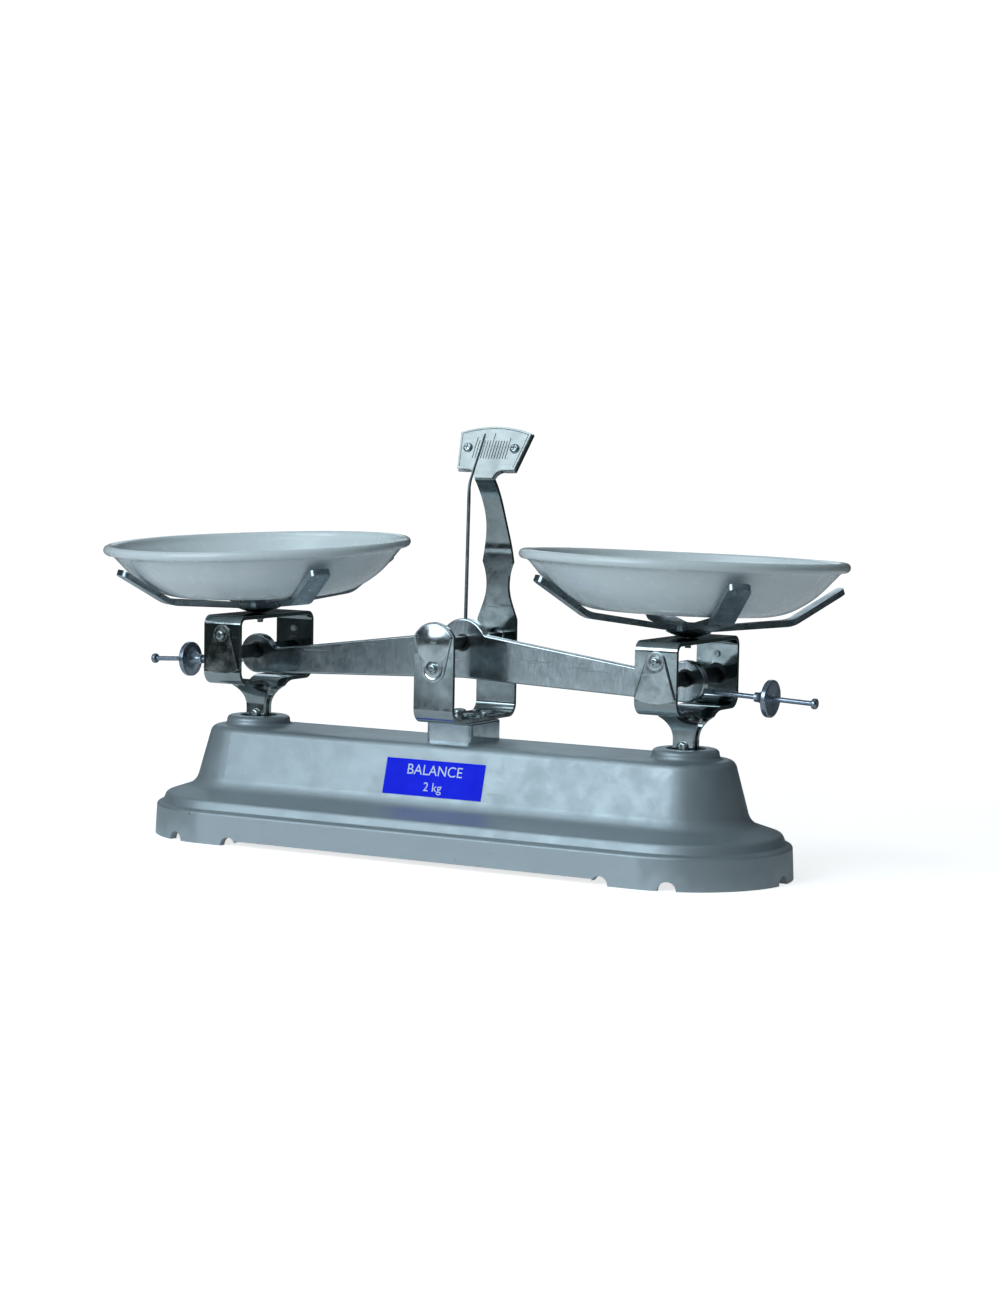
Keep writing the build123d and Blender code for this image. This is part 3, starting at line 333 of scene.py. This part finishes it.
WORN_EDGE = (0.85, 0.9, 0.92)
FINISHES = {
    "base_paint": paint_silver(),
    "block_plate": metal("block_plate", (0.47, 0.56, 0.62), (0.22, 0.28, 0.31), (0.08, 0.17),
                         wave=0.00014, stains=0.3, edge=WORN_EDGE),
    "label_film": film_blue(),
    "plated_steel": metal("plated_steel", (0.37, 0.42, 0.425), (0.19, 0.225, 0.225), (0.06, 0.14),
                          wave=0.00012, stains=0.55, edge=WORN_EDGE),
    "beam_steel": metal("beam_steel", (0.60, 0.66, 0.68), (0.30, 0.34, 0.36), (0.13, 0.22),
                        wave=0.00005, brush=(1.0, 1.0, 0.22), brush_depth=0.00003, stains=0.25,
                        edge=WORN_EDGE),
    "dark_steel": metal("dark_steel", (0.10, 0.12, 0.12), (0.035, 0.04, 0.04), (0.30, 0.50),
                        stains=0.8),
    "screw_steel": metal("screw_steel", (0.58, 0.65, 0.67), (0.20, 0.24, 0.25), (0.18, 0.34),
                         stains=0.6, edge=WORN_EDGE),
    "zinc_steel": metal("zinc_steel", (0.40, 0.46, 0.54), (0.22, 0.27, 0.33), (0.24, 0.38),
                        brush=(0.14, 1.0, 1.0), brush_depth=0.000006, stains=0.5,
                        edge=(0.80, 0.86, 0.9)),
    "pointer_steel": metal("pointer_steel", (0.36, 0.42, 0.44), (0.14, 0.17, 0.18), (0.28, 0.44),
                           stains=0.7),
    "scale_aluminium": metal("scale_aluminium", (0.65, 0.69, 0.67), (0.56, 0.60, 0.58),
                             (0.42, 0.56), brush=(0.12, 1.0, 1.0), brush_depth=0.000006),
    "spider_steel": metal("spider_steel", (0.34, 0.42, 0.46), (0.16, 0.20, 0.23), (0.24, 0.38),
                          wave=0.00008, brush=(0.3, 0.3, 1.0), brush_depth=0.000006, stains=0.5,
                          edge=(0.60, 0.68, 0.72)),
    "dish_white": enamel_white(),
    "cover_bright": metal("cover_bright", (0.76, 0.82, 0.84), (0.26, 0.30, 0.31), (0.14, 0.26),
                          wave=0.00012, stains=0.7, edge=WORN_EDGE),
    "cover_mottled": metal("cover_mottled", (0.42, 0.44, 0.42), (0.10, 0.115, 0.105), (0.16, 0.32),
                           wave=0.00012, stains=1.0, edge=(0.6, 0.64, 0.64)),
    "stay_steel": metal("stay_steel", (0.30, 0.34, 0.35), (0.12, 0.13, 0.13), (0.35, 0.55),
                        stains=0.8),
}
COVER_FINISH = {"left": FINISHES["cover_mottled"], "right": FINISHES["cover_bright"]}
INK_BLACK = ink("black_ink", (0.03, 0.035, 0.04), (0.12, 0.14, 0.15))
INK_WHITE = ink("white_ink", (0.80, 0.86, 0.92), (0.62, 0.70, 0.85))

for node_name, node_object in nodes.items():
    slot_name = node_object.data.materials[0].name
    node_object.data.materials[0] = FINISHES[slot_name]


# ------------------------------------------------------------------ mesh helpers
def new_object(name, vertices, faces, material, smooth=True):
    """Mesh object from vertices in millimetres."""
    mesh = bpy.data.meshes.new(name)
    mesh.from_pydata([[c * MM for c in v] for v in vertices], [], faces)
    mesh.validate()
    bm = bmesh.new()
    bm.from_mesh(mesh)
    bmesh.ops.recalc_face_normals(bm, faces=bm.faces)
    bm.to_mesh(mesh)
    bm.free()
    for polygon in mesh.polygons:
        polygon.use_smooth = smooth
    mesh.materials.append(material)
    obj = bpy.data.objects.new(name, mesh)
    bpy.context.scene.collection.objects.link(obj)
    return obj


def take_over(obj, node):
    """obj stands for a CAD node: the node is hidden and obj goes on the node's body; its finish is
    given where it is made.
    """
    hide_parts(node)
    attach(obj, nodes[node]["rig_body"])


def smooth_curve(points, steps):
    """Points on a Catmull-Rom curve through the given points."""
    padded = [points[0], *points, points[-1]]
    curve = []
    for a, b, c, d in zip(padded, padded[1:], padded[2:], padded[3:]):
        for k in range(steps):
            t = k / steps
            curve.append(tuple(
                0.5 * (2 * q + (r - p) * t + (2 * p - 5 * q + 4 * r - w) * t * t
                       + (3 * q - p - 3 * r + w) * t ** 3)
                for p, q, r, w in zip(a, b, c, d)))
    return curve + [points[-1]]


def arc(centre, radius, start, end, steps):
    """Points on a circular arc, angles in degrees."""
    angles = [radians(start + (end - start) * k / steps) for k in range(steps + 1)]
    return [(centre[0] + radius * cos(a), centre[1] + radius * sin(a)) for a in angles]


def round_edges(obj, width):
    """Bevel the sharp edges of a CAD mesh with modifiers, and keep its flat faces flat."""
    weld = obj.modifiers.new("weld", "WELD")
    weld.merge_threshold = 0.000002
    flat = obj.modifiers.new("flat", "DECIMATE")
    flat.decimate_type = "DISSOLVE"
    flat.angle_limit = radians(0.3)
    bevel = obj.modifiers.new("bevel", "BEVEL")
    bevel.width = width * MM
    bevel.segments = 2
    bevel.limit_method = "ANGLE"
    bevel.angle_limit = radians(38.0)
    bevel.harden_normals = True
    weighted = obj.modifiers.new("weighted", "WEIGHTED_NORMAL")
    weighted.keep_sharp = False
    weighted.weight = 100


for name, rounding in EDGE_ROUNDING.items():
    round_edges(nodes[name], rounding)


# ------------------------------------------------------------------ dishes
def make_dish(side):
    """Spun dish with a flat floor, sloping wall and rolled lip, very slightly out of true."""
    lean_x, lean_y = PAN_LEAN[side]
    along, up = PAN_SHIFT[side]
    turn = Vector((lean_x, lean_y, 1)).normalized()
    x_dir = Vector((1, 0, -lean_x)).normalized()
    y_dir = turn.cross(x_dir)
    origin = Vector((SIDES[side] * ARM + along, 0, HUB_Z + up))
    outer = smooth_curve([*((r, 0.0) for r in PAN_FLAT), *PAN_OUTSIDE], 7)
    lip = arc((PAN_R - PAN_LIP_R, PAN_DEPTH - PAN_LIP_R), PAN_LIP_R, *PAN_LIP_TURN, 20)
    inner = smooth_curve([*PAN_INSIDE, *((r, PAN_WALL) for r in reversed(PAN_FLAT))], 7)
    profile = outer + lip + inner
    rounds = 192
    vertices, faces = [], []
    for k in range(rounds):
        angle = 2 * pi * k / rounds
        out = x_dir * cos(angle) + y_dir * sin(angle)
        wave = sum(high * sin(number * angle + phase) for high, number, phase in PAN_WAVES)
        for radius, height in profile:
            share = (radius / PAN_R) ** 4
            across = radius - PAN_SETTLE[0] * share
            rise = PAN_Z + height - PAN_SETTLE[1] * share + share * wave
            vertices.append(origin + out * across + turn * rise)
    count = len(profile)
    for k in range(rounds):
        a, b = k * count, (k + 1) % rounds * count
        faces += [(a + j, b + j, b + j + 1, a + j + 1) for j in range(count - 1)]
    faces.append([k * count for k in range(rounds)])
    faces.append([k * count + count - 1 for k in range(rounds)])
    take_over(new_object(f"dish_{side}", vertices, faces, FINISHES["dish_white"]), f"pan_{side}")


# ------------------------------------------------------------------ covers over the bearings
def make_cover(node, x, wall_y, out, low, high, half_width, height, material):
    """Pressed cover: a grid inside its outline, with a rounded rim down to the wall.

    half_width gives the outline's half-width at a height from low to high, and height how far
    the sheet's face stands off the wall at (across, z).
    """
    rows, columns = 56, 28
    middle, half = (low + high) / 2, (high - low) / 2

    def place(row, column, inset, drop):
        """Grid point, drawn in by inset and sunk by drop, though not into the wall."""
        t = COVER_END + (1 - 2 * COVER_END) * row / rows
        z = middle - (half - inset) * cos(pi * t)
        widest = half_width(min(max(z, low), high)) - inset
        across = (2 * column / columns - 1) * max(widest, 0.02)
        return (x + across, wall_y + out * max(height(across, z) - drop, 0.0), z)

    vertices = [place(r, c, COVER_FACE_INSET, 0.0) for r in range(rows + 1) for c in range(columns + 1)]
    stride = columns + 1
    faces = [(r * stride + c, r * stride + c + 1, (r + 1) * stride + c + 1, (r + 1) * stride + c)
             for r in range(rows) for c in range(columns)]
    ring = [(0, c) for c in range(columns + 1)] + [(r, columns) for r in range(1, rows + 1)]
    ring += [(rows, c) for c in range(columns - 1, -1, -1)] + [(r, 0) for r in range(rows - 1, 0, -1)]
    count = len(ring)
    loop = [r * stride + c for r, c in ring]
    for inset, drop in COVER_RIM:
        start = len(vertices)
        vertices += [place(r, c, inset, drop) for r, c in ring]
        faces += [(loop[k], loop[(k + 1) % count], start + (k + 1) % count, start + k)
                  for k in range(count)]
        loop = list(range(start, start + count))
    faces.append(loop)
    take_over(new_object(f"{node}_shell", vertices, faces, material), node)


def round_half(z, centre_z, radius):
    """Half-width at height z of a circle on a cover's middle line."""
    return sqrt(max(radius ** 2 - (z - centre_z) ** 2, 0))


def straight_half(z, start, end):
    """Half-width at height z of a straight side between two corners."""
    share = (z - start[1]) / (end[1] - start[1])
    return start[0] + share * (end[0] - start[0])


def pressed_ring(across, rise, radius, half_width, depth):
    """Depth at (across, rise) from its middle of a ring pressed into a cover."""
    return depth / (1 + ((hypot(across, rise) - radius) / half_width) ** 4)


def fork_cover_half(z):
    """Half-width of a fork cover: round foot, straight sides, wide round crown."""
    if z < FORK_COVER_FOOT[1]:
        return round_half(z, FORK_SCREW_Z, FORK_COVER_FOOT_R)
    if z > FORK_COVER_HEAD[1]:
        return round_half(z, FORK_COVER_TOP_Z - FORK_COVER_CROWN_R, FORK_COVER_CROWN_R)
    return straight_half(z, FORK_COVER_FOOT, FORK_COVER_HEAD)


def fork_cover_face(across, z):
    """Height of a fork cover: bulge over the bearing, shallow pressed ring round the screw."""
    away = hypot(across, z - FORK_HOLE_Z - BULGE_RISE) / BULGE_R
    bulge = BULGE_H * (1 - min(away, 1.0) ** 2) ** BULGE_POWER
    return FORK_COVER_T + bulge - pressed_ring(across, z - FORK_SCREW_Z, *FORK_COVER_RING)


def yoke_cover_half(z):
    """Half-width of a yoke cover: small round head, straight sides, bowed foot."""
    if z > YOKE_COVER_NECK[1]:
        return round_half(z, YOKE_SCREW_Z, YOKE_COVER_HEAD_R)
    if z < YOKE_COVER_FOOT[1]:
        return round_half(z, YOKE_COVER_LOW_Z + YOKE_COVER_FOOT_R, YOKE_COVER_FOOT_R)
    return straight_half(z, YOKE_COVER_NECK, YOKE_COVER_FOOT)


def yoke_cover_face(across, z):
    """Height of a yoke cover: nearly flat, with the slow dents of thin sheet."""
    dents = sin(across * 0.42 + 0.8) * cos(z * 0.36) + 0.5 * sin(across * 0.23 - z * 0.31)
    ring = pressed_ring(across, z - YOKE_SCREW_Z, *YOKE_COVER_RING)
    return YOKE_COVER_T + YOKE_COVER_DENT * dents - ring


# ------------------------------------------------------------------ print on the plate and label
def scale_point(u, v, lift):
    """Point on the scale plate: u across, v up the plate from its tongue's foot."""
    lean = radians(SCALE_LEAN)
    up = Vector((0, sin(lean), cos(lean)))
    out = Vector((0, -cos(lean), sin(lean)))
    return Vector(SCALE_FOOT) + Vector((u, 0, 0)) + up * v + out * (SCALE_T + lift)


def stroke(vertices, faces, start, end, width, lift, point):
    """Thin raised bar of ink between two points of a plane."""
    along = Vector(end) - Vector(start)
    side = Vector((-along.y, along.x)).normalized() * width / 2
    first = len(vertices)
    for level in (0.0, lift):
        for corner in (Vector(start) - side, Vector(end) - side, Vector(end) + side,
                       Vector(start) + side):
            vertices.append(point(corner.x, corner.y, level))
    faces += [tuple(first + k for k in face) for face in (
        (0, 3, 2, 1), (4, 5, 6, 7), (0, 1, 5, 4), (1, 2, 6, 5), (2, 3, 7, 6), (3, 0, 4, 7))]


def make_scale_marks():
    """Divisions, longer middle and end marks, and a border line round the plate."""
    vertices, faces = [], []
    for k in range(-DIVISIONS, DIVISIONS + 1):
        top = MARK_TOP["middle" if k == 0 else "end" if abs(k) == DIVISIONS else "other"]
        u = k * DIVISION
        stroke(vertices, faces, (u, MARK_FOOT), (u, top), MARK_W, MARK_T, scale_point)
    half_w, corner_v = SCALE_CORNER
    steps = 24
    crown = []
    for k in range(steps + 1):
        u = -BORDER_HALF_W + 2 * BORDER_HALF_W * k / steps
        drop = (u / half_w) ** 2 * (SCALE_CROWN - corner_v)
        crown.append((u, SCALE_CROWN - BORDER_INSET - drop))
    low_w, low_v = BORDER_LOW
    border = [(-low_w, low_v), *crown, (low_w, low_v)]
    for start, end in zip(border, border[1:]):
        stroke(vertices, faces, start, end, BORDER_W, BORDER_T, scale_point)
    marks = new_object("scale_marks", vertices, faces, INK_BLACK, smooth=False)
    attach(marks, "base")


def make_label_text():
    """Generic words on the label, as a thin raised print."""
    rise = Vector((0, WALL_HEAD[0] - WALL_FOOT[0], WALL_HEAD[1] - WALL_FOOT[1]))
    up = Vector((0, -rise.y, rise.z)).normalized()
    out = Vector((1, 0, 0)).cross(up)
    lo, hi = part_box("label")
    middle = (lo + hi) / 2
    face = middle + out * (PRINT_STAND * MM)
    for k, (words, size, height) in enumerate(LABEL_WORDS):
        font = bpy.data.curves.new(f"print_{k}", "FONT")
        font.body = words
        font.size = size * MM
        font.align_x = "CENTER"
        font.extrude = PRINT_T * MM
        text = bpy.data.objects.new(f"print_curve_{k}", font)
        bpy.context.scene.collection.objects.link(text)
        bpy.context.view_layer.update()
        mesh = bpy.data.meshes.new_from_object(text)
        bpy.data.objects.remove(text)
        mesh.transform(Matrix.Translation(face + up * (height * MM)) @ Matrix(
            (Vector((1, 0, 0)), up, out)).transposed().to_4x4())
        mesh.materials.clear()
        mesh.materials.append(INK_WHITE)
        piece = bpy.data.objects.new(f"label_print_{k}", mesh)
        bpy.context.scene.collection.objects.link(piece)
        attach(piece, "base")


def make_pointer():
    """Wire pointer, round below and hammered thin where it crosses the scale."""
    low, bend, tip = (Vector(v) for v in POINTER_POINTS)
    enter = bend + (low - bend).normalized() * POINTER_BEND
    leave = bend + (tip - bend).normalized() * POINTER_BEND
    upright, round_bend, end = POINTER_STEPS
    path = [low.lerp(enter, k / upright) for k in range(upright)]
    path += [enter * (1 - t) ** 2 + bend * 2 * t * (1 - t) + leave * t * t
             for t in (k / round_bend for k in range(round_bend))]
    path += [leave.lerp(tip, k / end) for k in range(end + 1)]
    around = 16
    vertices, faces = [], []
    for k, spot in enumerate(path):
        ahead = (path[min(k + 1, len(path) - 1)] - path[max(k - 1, 0)]).normalized()
        depth_dir = Vector((1, 0, 0)).cross(ahead)
        thinned = min(max((spot.z - bend.z + POINTER_FLAT[0]) / POINTER_FLAT[1], 0), 1)
        wide, deep = (POINTER_R * (1 - part * thinned) for part in POINTER_THINNED)
        if k == len(path) - 1:
            wide, deep = wide * POINTER_TIP, deep * POINTER_TIP
        for j in range(around):
            angle = 2 * pi * j / around
            vertices.append(spot + Vector((cos(angle) * wide, 0, 0)) + depth_dir * (sin(angle) * deep))
    for k in range(len(path) - 1):
        for j in range(around):
            a, b = k * around + j, k * around + (j + 1) % around
            faces.append((a, b, b + around, a + around))
    faces += [list(range(around)), list(range(len(vertices) - around, len(vertices)))]
    take_over(new_object("pointer_wire", vertices, faces, FINISHES["pointer_steel"]), "pointer")


for side in SIDES:
    make_dish(side)
    for where, out in (("front", -1), ("back", 1)):
        make_cover(f"yoke_{side}_cover_{where}", SIDES[side] * ARM, out * YOKE_HALF_DEPTH, out,
                   YOKE_COVER_LOW_Z, YOKE_SCREW_Z + YOKE_COVER_HEAD_R, yoke_cover_half,
                   yoke_cover_face, COVER_FINISH[side])
for where, wall_y, out in (("front", FORK_FRONT_Y, -1), ("back", FORK_BACK_Y, 1)):
    make_cover(f"fork_cover_{where}", 0, wall_y, out, FORK_SCREW_Z - FORK_COVER_FOOT_R,
               FORK_COVER_TOP_Z, fork_cover_half, fork_cover_face, FINISHES["cover_bright"])
make_scale_marks()
make_label_text()
make_pointer()


# ------------------------------------------------------------------ stage
FLOOR_R = 0.65
FLOOR_SHADE = (0.83, 0.85)
FLOOR_GLOW = 0.08                   # that every ray sees
FLOOR_LIFT = 0.67                   # that the camera sees besides
ROOM_HORIZON = (0.026, 0.034, 0.036)
ROOM_LEVELS = ((0.58, 0.035), (0.66, 0.09), (0.80, 0.20))   # height, 0.5 at the horizon; level
ROOM_TOP = (0.14, 0.175, 0.18)
BACKDROP = 1.05
LIGHTS = (      # name, place, what it faces, width and height, watts
    ("key", (-0.62, -1.85, 1.0), (0, 0, 0.08), (1.5, 0.9), 21.5),
    ("top", (-0.5, -0.8, 1.6), (0, 0, 0.1), (1.2, 0.8), 6),
    ("back", (-0.9, 1.4, 0.8), (0, 0, 0.1), (1.0, 0.7), 2.4),
    ("low", (-0.685, -1.6, -0.03), (0.05, 0, 0.09), (0.53, 0.11), 0.19),
)


def make_floor():
    """Pale round floor, plain white to the camera beyond the object's soft shadow."""
    bm = bmesh.new()
    bmesh.ops.create_circle(bm, cap_ends=True, segments=128, radius=FLOOR_R)
    mesh = bpy.data.meshes.new("floor")
    bm.to_mesh(mesh)
    bm.free()
    floor = bpy.data.objects.new("floor", mesh)
    bpy.context.scene.collection.objects.link(floor)
    g = Graph("pale_floor")
    shade = g.ramp(g.noise(300, 3), 0.3, 0.7, *FLOOR_SHADE)
    colour = g.node("ShaderNodeCombineColor", {0: shade, 1: shade, 2: shade}).outputs[0]
    seen = g.node("ShaderNodeLightPath").outputs["Is Camera Ray"]
    glow = g.math("ADD", g.math("MULTIPLY", seen, FLOOR_LIFT), FLOOR_GLOW)
    g.shader.inputs["Emission Color"].default_value = (1, 1, 1, 1)
    floor.data.materials.append(
        g.finish(Base_Color=colour, Roughness=0.9, Specular_IOR_Level=0.0, Emission_Strength=glow))


def soft_light(name, place, aim, size, power):
    """Rectangular soft light at place, facing aim."""
    light = bpy.data.lights.new(name, "AREA")
    light.shape = "RECTANGLE"
    light.size, light.size_y = size
    light.energy = power
    light.color = TINT
    obj = bpy.data.objects.new(name, light)
    obj.location = place
    obj.rotation_mode = "QUATERNION"
    obj.rotation_quaternion = (Vector(aim) - Vector(place)).to_track_quat("-Z", "Y")
    bpy.context.scene.collection.objects.link(obj)


def make_world():
    """Room: dim round the horizon, lighter overhead; plain white behind the object."""
    world = bpy.data.worlds.new("studio")
    bpy.context.scene.world = world
    world.use_nodes = True
    tree = world.node_tree
    tree.nodes.clear()
    coord = tree.nodes.new("ShaderNodeTexCoord")
    split = tree.nodes.new("ShaderNodeSeparateXYZ")
    tree.links.new(coord.outputs["Generated"], split.inputs[0])
    ramp = tree.nodes.new("ShaderNodeValToRGB")
    ramp.color_ramp.elements[0].position = 0.50
    ramp.color_ramp.elements[0].color = (*ROOM_HORIZON, 1)
    ramp.color_ramp.elements[1].position = 1.0
    ramp.color_ramp.elements[1].color = (*ROOM_TOP, 1)
    for position, level in ROOM_LEVELS:
        element = ramp.color_ramp.elements.new(position)
        element.color = (*(level * part for part in TINT), 1)
    half = tree.nodes.new("ShaderNodeMapRange")
    half.inputs["From Min"].default_value = -1.0
    tree.links.new(split.outputs["Z"], half.inputs["Value"])
    tree.links.new(half.outputs[0], ramp.inputs[0])
    room = tree.nodes.new("ShaderNodeBackground")
    tree.links.new(ramp.outputs[0], room.inputs["Color"])
    plain = tree.nodes.new("ShaderNodeBackground")
    plain.inputs["Color"].default_value = (1, 1, 1, 1)
    plain.inputs["Strength"].default_value = BACKDROP
    seen = tree.nodes.new("ShaderNodeLightPath")
    mix = tree.nodes.new("ShaderNodeMixShader")
    out = tree.nodes.new("ShaderNodeOutputWorld")
    tree.links.new(seen.outputs["Is Camera Ray"], mix.inputs[0])
    tree.links.new(room.outputs[0], mix.inputs[1])
    tree.links.new(plain.outputs[0], mix.inputs[2])
    tree.links.new(mix.outputs[0], out.inputs[0])


def make_camera():
    """Camera at the photograph's viewing angle."""
    azimuth, elevation, roll = (radians(v) for v in (VIEW_AZIMUTH, VIEW_ELEVATION, VIEW_ROLL))
    back = Vector((sin(azimuth) * cos(elevation), -cos(azimuth) * cos(elevation), sin(elevation)))
    level = Vector((cos(azimuth), sin(azimuth), 0))
    upright = back.cross(level)
    right = level * cos(roll) + upright * sin(roll)
    up = upright * cos(roll) - level * sin(roll)
    data = bpy.data.cameras.new("camera")
    data.sensor_width = SENSOR
    data.lens = FOCAL_PX * SENSOR / max(FRAME_PX)
    data.clip_start = 0.01
    data.clip_end = 50.0
    camera = bpy.data.objects.new("camera", data)
    place = (Vector(VIEW_TARGET) + back * VIEW_DISTANCE) * MM
    camera.matrix_world = Matrix.Translation(place) @ Matrix((right, up, back)).transposed().to_4x4()
    bpy.context.scene.collection.objects.link(camera)
    bpy.context.scene.camera = camera


make_camera()
make_floor()
make_world()
for light_settings in LIGHTS:
    soft_light(*light_settings)
bpy.context.scene.view_settings.view_transform = "Standard"
